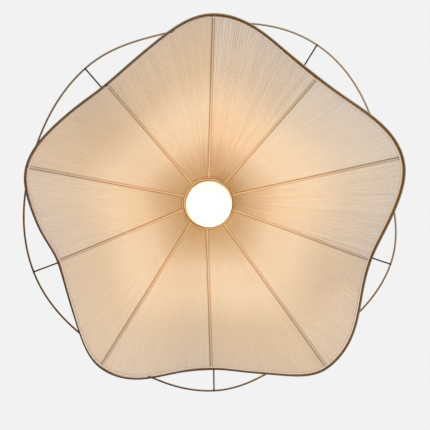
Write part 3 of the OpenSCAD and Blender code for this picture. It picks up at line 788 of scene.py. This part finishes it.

# %% [markdown]
# ## The wire frame
# Rim, hoop, ribs and struts are steel wire, bent over a former and welded, then lacquered: bronze on the
# frame, champagne on the outer hoop and taupe on the trim wire. Each is painted nearly black on one side
# of the shade and pale on the other as painted light, with a golden brown painted reflection of the warm
# cloth on the side that faces the axis. The trim wire follows the rim wire, under it on one side and
# leaning out on the other. A weld shows as a small swelling, so ribs and struts flare at their ends and
# run into the wires that they meet.

# %% Lacquer on wire
def wire_lacquer(name, key, dark, pale, painted_reflection):
    """Satin lacquer, painted dark on one side of the shade and paler towards the other as painted light, as
    the attribute pale says, with a golden brown painted reflection of the warm cloth on the side that faces
    the axis. The section's uv goes from the outer side, 0, over the top, 0.25, to the inner side, 0.5.
    Noise 12 mm long moves the edge."""
    tree, surface = finish(name, key, Specular_IOR_Level=0.03)
    [painted_light_side] = point_values(tree, "pale")
    coat = mix(tree, painted_light_side, linear(dark), linear(pale))
    round_wire = add(tree, "SeparateXYZ", {0: add(tree, "UVMap", uv_map="surface_uv")}, out="X")
    place_in = add(tree, "TexCoord", out="Object")
    flow = add(tree, "TexNoise", {"Vector": place_in, "Scale": 1 / (12 * mm), "Detail": 3.0})
    shift = remap(tree, flow, (-0.08, 0.08))
    moved = add(tree, "Math", {0: round_wire, 1: shift}, operation="ADD")
    # Painted reflection: a golden brown band round the side of the wire that faces the axis.
    worn = ramp(tree, moved, [
        (0.25, "#000000"), (0.74, "#000000"), (0.38, "#ffffff"), (0.62, "#ffffff")])
    grain = add(tree, "TexNoise", {"Vector": place_in, "Scale": 1 / (1.5 * mm), "Detail": 2.0})
    connect(tree, surface, {
        "Base Color": mix(tree, worn, coat, linear(painted_reflection)),
        "Roughness": remap(tree, grain, (0.38, 0.54)),
        "Normal": bump(tree, grain, 0.15, 0.05 * mm),
    })


wire_lacquer("bronze_lacquered_steel_wire", "bronze", "#100903", "#7c5628", "#bc7c34")
wire_lacquer("dark_bronze_steel_wire", "dark", "#341a04", "#341a04", "#553412")
wire_lacquer("champagne_lacquered_steel_wire", "champagne", "#120b05", "#a89884", "#a67c44")
wire_lacquer("taupe_lacquered_steel_wire", "trim", "#0e0703", "#a29078", "#86643a")

# %% Rim, trim, hoop and neck ring
wire_sides = 14
trim_wire_r = 1.5 * mm
trim_gap = 0.3 * mm
trim_turn = math.radians(53)
trim_dir = math.radians(-68)
around = np.linspace(0, ribs, ribs * 30, endpoint=False)
# Painted light: the lacquer is painted palest in this direction, and nearly black opposite.
painted_light_dir = math.radians(-45)
painted_light_share = (1 + np.cos(direction_at(rim_knots, around) - painted_light_dir)) / 2


def wire_ring(name, node, path, radius, key):
    """A closed round wire: a circle carried along a closed path."""
    side, up = path_frame(path, True)
    mesh = swept_mesh(name, swept(path, side, up, circle(radius, wire_sides)), path, True,
                      values={"pale": painted_light_share[:, None]})
    return place(name, mesh, key, node)


rim_path = rim_point(around)
rim_out = path_frame(rim_path, True)[0]
leaning = trim_turn * (1 + np.cos(direction_at(rim_knots, around) - trim_dir))[:, None] / 2
trim_path = rim_path + (wire_r + trim_gap + trim_wire_r) * (
    np.sin(leaning) * rim_out - np.cos(leaning) * [0, 0, 1])
rim = wire_ring("rim_wire_bronze", "rim_wire", rim_path, wire_r, "bronze")
wire_ring("trim_wire_taupe", "trim_wire", trim_path, trim_wire_r, "trim")
wire_ring("outer_hoop_champagne", "outer_hoop", knot_curve(hoop_knots, around), hoop_wire_r, "champagne")

# %% Whipping on the neck ring
# Waxed linen thread, wound round the ring turn by turn. It holds the cloth's edge and hides the slit
# between ring and cup. The wax gives it a low shine. The rows between the turns are painted darker as
# painted shade, and a faint emission paints light on the thread.
whip_turns = 220
whip_sides = 12
thread_r = 0.35 * mm
whip_mean, whip_swell = 1.15 * thread_r, 0.25 * thread_r
tree, surface = finish("waxed_linen_thread", "thread", Roughness=0.5, Specular_IOR_Level=0.4,
                       Emission_Strength=1.0, Emission_Color=linear("#3a2410"))
[shade_between_turns] = point_values(tree, "shade_between_turns")
colour = ramp(tree, shade_between_turns, [(0.0, "#a46a30"), (1.0, "#7a4a1c")])
connect(tree, surface, {"Base Color": colour})
u = np.linspace(0, ribs, whip_turns * 6, endpoint=False)
path = neck_point(u)
side, up = path_frame(path, True)
wave = np.cos(2 * np.pi * whip_turns * u / ribs)
points = swept(path, side, up, circle(wire_r + whip_mean + whip_swell * wave, whip_sides))
mesh = swept_mesh("neck_ring_whipping", points, path, True, values={"shade_between_turns": (1 - wave)[:, None] / 2})
neck = place("neck_ring_whipping", mesh, "thread", "neck_ring")

# %% Ribs and struts
weld_swell = 0.45
weld_length = 2.5 * mm


def welded_bar(name, node, start, end, radius, key):
    """A straight round bar whose radius swells at each end as a bell curve as wide as the weld."""
    shares = np.sort(np.append(np.linspace(0, 1, 40), [0.005, 0.012, 0.988, 0.995]))
    path = start + (end - start) * shares[:, None]
    flare = sum(np.exp(-((norm(path - tip) / weld_length) ** 2)) for tip in (start, end))
    side, up = path_frame(path, False)
    points = swept(path, side, up, circle(radius * (1 + weld_swell * flare), wire_sides))
    return place(name, swept_mesh(name, points, path, False, sharp=50), key, node)


strut_r = 1.5 * mm
# How far along the rim each strut's foot stands from its notch, in ribs.
strut_shift = (-0.145, -0.03, -0.01, 0, -0.055)
for i in range(ribs):
    u = np.array([float(i)])
    welded_bar(f"rib_{i + 1}_bronze", f"rib_{i + 1}", neck_point(u)[0], rim_point(u)[0], wire_r, "bronze")
    if i % 2:
        n = (i + 1) // 2
        foot = rim_point(u + strut_shift[n - 1])[0]
        welded_bar(f"hoop_strut_{n}_dark", f"hoop_strut_{n}", foot, hoop_knots[i], strut_r, "dark")

# %% [markdown]
# Each gore is a sheet of cloth, stretched on the rim wire and the neck ring. Its cut is a sector, narrow
# at the neck, and its area is that of the pleated surface, because pressing pleats folds cloth without
# stretching it.

# %% [markdown]
# ## Brass
# The cup is spun: a disc of brass is pressed over a turning form, and the tool leaves fine rings. The
# cord grip, cap, ring and nut are turned, with finer marks and a satin lacquer. Both are the same metal
# and differ in the spacing of their rings and in polish.

# %% Brass finishes
def turned_metal(name, key, deep, pale, rough, ring_mm, depth, metallic=1.0):
    """Lathe marks: bands across the axis, one each ring_mm, and a slow change of colour and gloss where
    the lacquer has aged."""
    tree, surface = finish(name, key, Metallic=metallic)
    age, colour = clouded(tree, 15 * mm, deep, pale, detail=4.0)
    place_in = add(tree, "TexCoord", out="Object")
    flat = add(tree, "VectorMath", {0: place_in, 1: (1, 1, 0)}, operation="MULTIPLY")
    reach = add(tree, "VectorMath", {0: flat}, out="Value", operation="LENGTH")
    height = add(tree, "SeparateXYZ", {0: place_in}, out="Z")
    along = add(tree, "Math", {0: reach, 1: height}, operation="SUBTRACT")
    turns = add(tree, "Math", {0: along, 1: 2 * math.pi / (ring_mm * mm)}, operation="MULTIPLY")
    rings = add(tree, "Math", {0: turns}, operation="SINE")
    connect(tree, surface, {
        "Base Color": colour,
        "Roughness": remap(tree, age, (rough - 0.07, rough + 0.07)),
        "Normal": bump(tree, rings, 0.3, depth * mm),
    })


turned_metal("turned_satin_brass", "brass", "#a98346", "#c9a463", 0.32, 0.5, 0.01)
turned_metal("spun_satin_brass", "cup", "#f0c47c", "#f8d898", 0.5, 1.6, 0.02, 0.2)
turned_metal("nickel_plated_brass", "nickel", "#b4b4b0", "#cfcfca", 0.25, 0.6, 0.01)
turned_metal("plain_steel_screw", "steel", "#9c9a94", "#bdbab2", 0.35, 0.4, 0.01)

# %% Spun cup
mouth_drop = 2.2 * mm
cup_r, cup_top, cup_foot = reach_top_foot("brass_cup")
cup_mouth = cup_foot - mouth_drop
cup_top_r, cup_wall, hole_r = 29 * mm, 1 * mm, 20 * mm
bead_r, bead_out, bead_top = 1.2 * mm, 0.5 * mm, 0.9 * mm
quarter = np.linspace(np.pi / 2, 0, 28)
outer = arc((cup_top_r, cup_mouth), (cup_r - cup_top_r, cup_top - cup_mouth), quarter)
inner = outer[::-1] - arc((0, 0), cup_wall, quarter[::-1])
lip = np.linspace(0, -1.5 * np.pi, 16)[1:]
bead = arc((cup_r - bead_r + bead_out, cup_mouth), bead_r, lip)
outline = np.vstack([
    outer, bead[bead[:, 1] < cup_mouth + bead_top], inner[inner[:, 1] > cup_mouth + bead_r],
    [[hole_r, cup_top - cup_wall], [hole_r, cup_top]]])
turned_piece("spun_brass_cup", "brass_cup", "cup", outline, 128, sharp=40)

# %% Cap of the lampholder
cap_r, cap_top, cap_foot = reach_top_foot("holder_cap")
boss_r, boss_h, skirt_h, cap_wall = 8.5 * mm, 6 * mm, 9 * mm, 1.5 * mm
bore_r = 5.1 * mm
foot_band, foot_edge = 3 * mm, 0.4 * mm
dome_top = cap_top - boss_h
rise = dome_top - cap_foot - skirt_h
quarter = np.linspace(np.pi / 2, 0, 24)
dome = arc((boss_r, dome_top - rise), (cap_r - boss_r, rise), quarter)
inside = arc((boss_r - cap_wall, dome_top - rise), (cap_r - boss_r, rise - cap_wall), quarter)[::-1]
outline = np.vstack([
    softened([[bore_r, cap_top], [boss_r, cap_top], [boss_r, dome_top]], 0.8 * mm)[:8], dome[1:],
    [[cap_r, cap_foot + foot_band], [cap_r, cap_foot + foot_edge], [cap_r - foot_edge, cap_foot]],
    [[cap_r - cap_wall, cap_foot]], inside, [[bore_r, dome_top - cap_wall]]])
turned_piece("turned_cap", "holder_cap", "brass", outline, 96, sharp=40)

# %% Threaded body of the lampholder
flange_r, body_top, mouth_z = reach_top_foot("holder_body")
body_r, body_wall, flange_t, body_in_cap = 19.7 * mm, 1.3 * mm, 2 * mm, 6 * mm
flange_top = body_top - body_in_cap
holder_pitch, holder_deep = 2.5 * mm, 0.25 * mm
thread_top, thread_foot = flange_top - flange_t - 1.5 * mm, mouth_z + 0.8 * mm
holder_edge = 0.35 * mm
# A thread shows on a grid as fine as this.
thread_step = 0.35 * mm


def holder_thread(r, z, a):
    """Right-hand thread on the outer wall: r changes by −depth · (1 − cos(2πz/pitch − a))."""
    on_skirt = (r > body_r - 0.2 * mm) & (z < thread_top) & (z > thread_foot)
    return np.where(on_skirt, -holder_deep * (1 - np.cos(2 * np.pi * z / holder_pitch - a)), 0)


outline = softened([
    [body_r, body_top], [body_r, flange_top], [flange_r, flange_top], [flange_r, flange_top - flange_t],
    [body_r, flange_top - flange_t], [body_r, mouth_z], [body_r - body_wall, mouth_z],
    [body_r - body_wall, body_top]], holder_edge)
turned_piece("threaded_body", "holder_body", "brass", fine(outline, thread_step), 96, holder_thread)

# %% Shade ring
ring_r, ring_top, ring_foot = reach_top_foot("shade_ring")
ring_flange, ring_wall_r, ring_bore = 2.5 * mm, 22.7 * mm, 19.8 * mm
grips, grip_high = 24, 0.8 * mm


def ring_grips(r, z, a):
    """Finger grips on the outside below the flange: r grows by height · (half of 1 + cos 24a)³."""
    on_wall = (r > ring_wall_r - 0.1 * mm) & (z < ring_top - ring_flange - 0.3 * mm)
    return np.where(on_wall, grip_high * ((1 + np.cos(grips * a)) / 2) ** 3, 0)


outline = softened([
    [ring_r, ring_top], [ring_r, ring_top - ring_flange], [ring_wall_r, ring_top - ring_flange],
    [ring_wall_r, ring_foot], [ring_bore, ring_foot], [ring_bore, ring_top]], 0.4 * mm)
turned_piece("shade_ring_turned", "shade_ring", "brass", fine(outline, 0.8 * mm), 240, ring_grips)

# %% [markdown]
# ## Pieces that keep their CAD form
# Some pieces have side holes, slots and flats that a lathe can't make in one go. For these a copy of the
# CAD node stands in, its flat faces made whole and its edges rounded by a small bevel.

# %% A dressed copy
flat_angle = math.radians(0.5)
edge_angle = math.radians(35)


def dressed_copy(name, node, key, bevel, body="light"):
    """Copy of a CAD node with its doubles merged, flat triangles joined and edges bevelled."""
    solid = bmesh.new()
    solid.from_mesh(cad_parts[node].data)
    bmesh.ops.remove_doubles(solid, verts=solid.verts, dist=merge_distance)
    bmesh.ops.dissolve_limit(solid, angle_limit=flat_angle, verts=solid.verts, edges=solid.edges)
    mesh = bpy.data.meshes.new(name)
    solid.to_mesh(mesh)
    solid.free()
    mesh.shade_smooth()
    mesh.set_sharp_from_angle(angle=edge_angle)
    piece = place(name, mesh, key, node, body=body)
    if bevel:
        edge = piece.modifiers.new("edge", "BEVEL")
        edge.width, edge.segments = bevel * mm, 2
        edge.limit_method, edge.angle_limit = "ANGLE", edge_angle
        edge.harden_normals = True


# Glazed porcelain: white, glossy and faintly uneven.
tree, surface = finish("white_glazed_porcelain", "porcelain", Roughness=0.12, Coat_Weight=0.3)
cloud, colour = clouded(tree, 9 * mm, "#eae6dc", "#f4f1ea")
relief = bump(tree, cloud, 0.1, 0.2 * mm)
connect(tree, surface, {"Base Color": colour, "Normal": relief})

# Each row ends with the width of the bevel in millimetres.
for name, node, key, bevel in (
    ("cord_grip_turned", "cord_grip", "brass", 0.25), ("grip_screw_slotted", "grip_screw", "steel", 0.12),
    ("lock_nut_brass", "lock_nut", "brass", 0.3), ("nipple_brass", "threaded_nipple", "brass", 0),
    ("porcelain_insert", "holder_insert", "porcelain", 0.3),
    ("terminal_screws_brass", "terminal_screws", "brass", 0.15),
    ("contact_spring", "centre_contact", "nickel", 0.1), ("fitter_bronze", "shade_fitter", "bronze", 0),
):
    dressed_copy(name, node, key, bevel)

# %% [markdown]
# ## The bulb
# The globe is blown opal glass: a milky layer under a glossy skin, lit from inside, so its edge looks no
# darker than its middle. Its screw base is nickel-plated, with the rolled thread of the E27 size: 3.63 mm
# from turn to turn, right-handed. The shell in the lampholder has the same thread a hair wider, so the
# bulb turns out of it without touching.

# %% Bulb finishes
# Opal glass, lit: the emission is just under white, and the gloss comes on top of it.
tree, surface = finish("blown_opal_glass", "opal", Roughness=0.18, Emission_Strength=0.86)
milk, colour = clouded(tree, 30 * mm, "#8c8a84", "#94928c")
lit = ramp(tree, milk, [(0.3, "#fffdf4"), (0.7, "#fffefa")])
connect(tree, surface, {"Base Color": colour, "Emission Color": lit})

# Moulded white PBT plastic, finely frosted by its mould.
tree, surface = finish("moulded_white_plastic", "plastic", Specular_IOR_Level=0.5)
frost, colour = clouded(tree, 0.8 * mm, "#e6e5e0", "#eeede8")
gloss = remap(tree, frost, (0.38, 0.52))
connect(tree, surface, {"Base Color": colour, "Roughness": gloss})

# Glass-epoxy board under green solder mask, with copper showing faintly as a lighter grid.
tree, surface = finish("solder_masked_board", "board", Roughness=0.35, Coat_Weight=0.4)
tracks = add(tree, "TexBrick", {
    "Vector": add(tree, "TexCoord", out="Object"), "Color1": linear("#2f6a40"), "Color2": linear("#2a5c38"),
    "Mortar": linear("#4a8a58"), "Scale": 1 / (6 * mm), "Mortar Size": 0.04})
connect(tree, surface, {"Base Color": tracks})

# Black glass bead that insulates the contact at the bulb's tip.
tree, surface = finish("black_glass_bead", "bead", Roughness=0.1)
cloud, colour = clouded(tree, 3 * mm, "#121214", "#222226")
connect(tree, surface, {"Base Color": colour})

# %% Globe
globe_r, globe_top, globe_foot = reach_top_foot("bulb_globe")
globe_z = globe_foot + globe_r
glass_neck_r, blend_r, glass_t = 17 * mm, 12 * mm, 1 * mm
blend_rise = math.sqrt((globe_r + blend_r) ** 2 - (glass_neck_r + blend_r) ** 2)
meet = math.asin((glass_neck_r + blend_r) / (globe_r + blend_r))


def globe_outline(inside):
    """Outline from the neck down to the pole, drawn so far inside the outer face: a straight neck, an arc
    that blends outwards and the sphere's own arc."""
    blend = np.linspace(np.pi, 1.5 * np.pi - meet, 10)
    ball = np.linspace(np.pi / 2 - meet, -np.pi / 2, 64)[1:]
    return np.vstack([
        [[glass_neck_r - inside, globe_top]],
        arc((glass_neck_r + blend_r, globe_z + blend_rise), blend_r + inside, blend),
        arc((0, globe_z), globe_r - inside, ball)])


outline = np.vstack([globe_outline(0), globe_outline(glass_t)[::-1]])
turned_piece("opal_globe", "bulb_globe", "opal", outline, 96, sharp=40, body="bulb")

# %% Screw base and its shell
thread_pitch = 3.629 * mm
thread_deep = 0.4 * mm
run_out = 2 * mm
wall = 0.5 * mm
edge_r = 0.15 * mm
base_r, base_top, base_foot = reach_top_foot("bulb_base")


def rolled_thread(lowest, highest, inside=0):
    """Relief of a rolled right-hand thread, thread_deep · (cos(2πz/pitch − a) − 1), alike on both faces of
    the thin sheet outside a radius, and faded out at its ends. All crests lie on one helix."""
    def relief(r, z, a):
        fade = smooth_step((z - lowest) / run_out) * smooth_step((highest - z) / run_out)
        height = thread_deep * (np.cos(2 * np.pi * z / thread_pitch - a) - 1) * fade
        return np.where(r > inside, height, 0)

    return relief


outline = softened([
    [base_r, base_top], [base_r, base_foot], [base_r - wall, base_foot], [base_r - wall, base_top]], edge_r)
turned_piece("bulb_screw_base", "bulb_base", "nickel", fine(outline, thread_step), 96,
             rolled_thread(base_foot + 1.5 * mm, base_top - 1.0 * mm), sharp=60, body="bulb")

shell_r, shell_top, shell_foot = reach_top_foot("screw_shell")
shell_lip_r = shell_r - 3 * mm
outline = softened([
    [shell_r, shell_top], [shell_r, shell_foot], [shell_r - wall, shell_foot],
    [shell_r - wall, shell_top - wall], [shell_lip_r, shell_top - wall], [shell_lip_r, shell_top]], edge_r)
turned_piece("screw_shell_rolled", "screw_shell", "nickel", fine(outline, thread_step), 96,
             rolled_thread(shell_foot + 0.5 * mm, shell_top - 1.5 * mm, shell_r - 0.7 * mm), sharp=60)

# %% Collar, boards and tip
for name, node, key, bevel, body in (
    ("bulb_collar_moulded", "bulb_collar", "plastic", 0.3, "bulb"),
    ("led_board_round", "led_board", "board", 0, "bulb"),
    ("led_driver_board", "led_driver", "board", 0.15, "bulb"),
    ("glass_bead", "bulb_insulator", "bead", 0.2, "bulb_tip"),
    ("tip_contact", "bulb_contact", "nickel", 0.15, "bulb_tip"),
):
    dressed_copy(name, node, key, bevel, body)
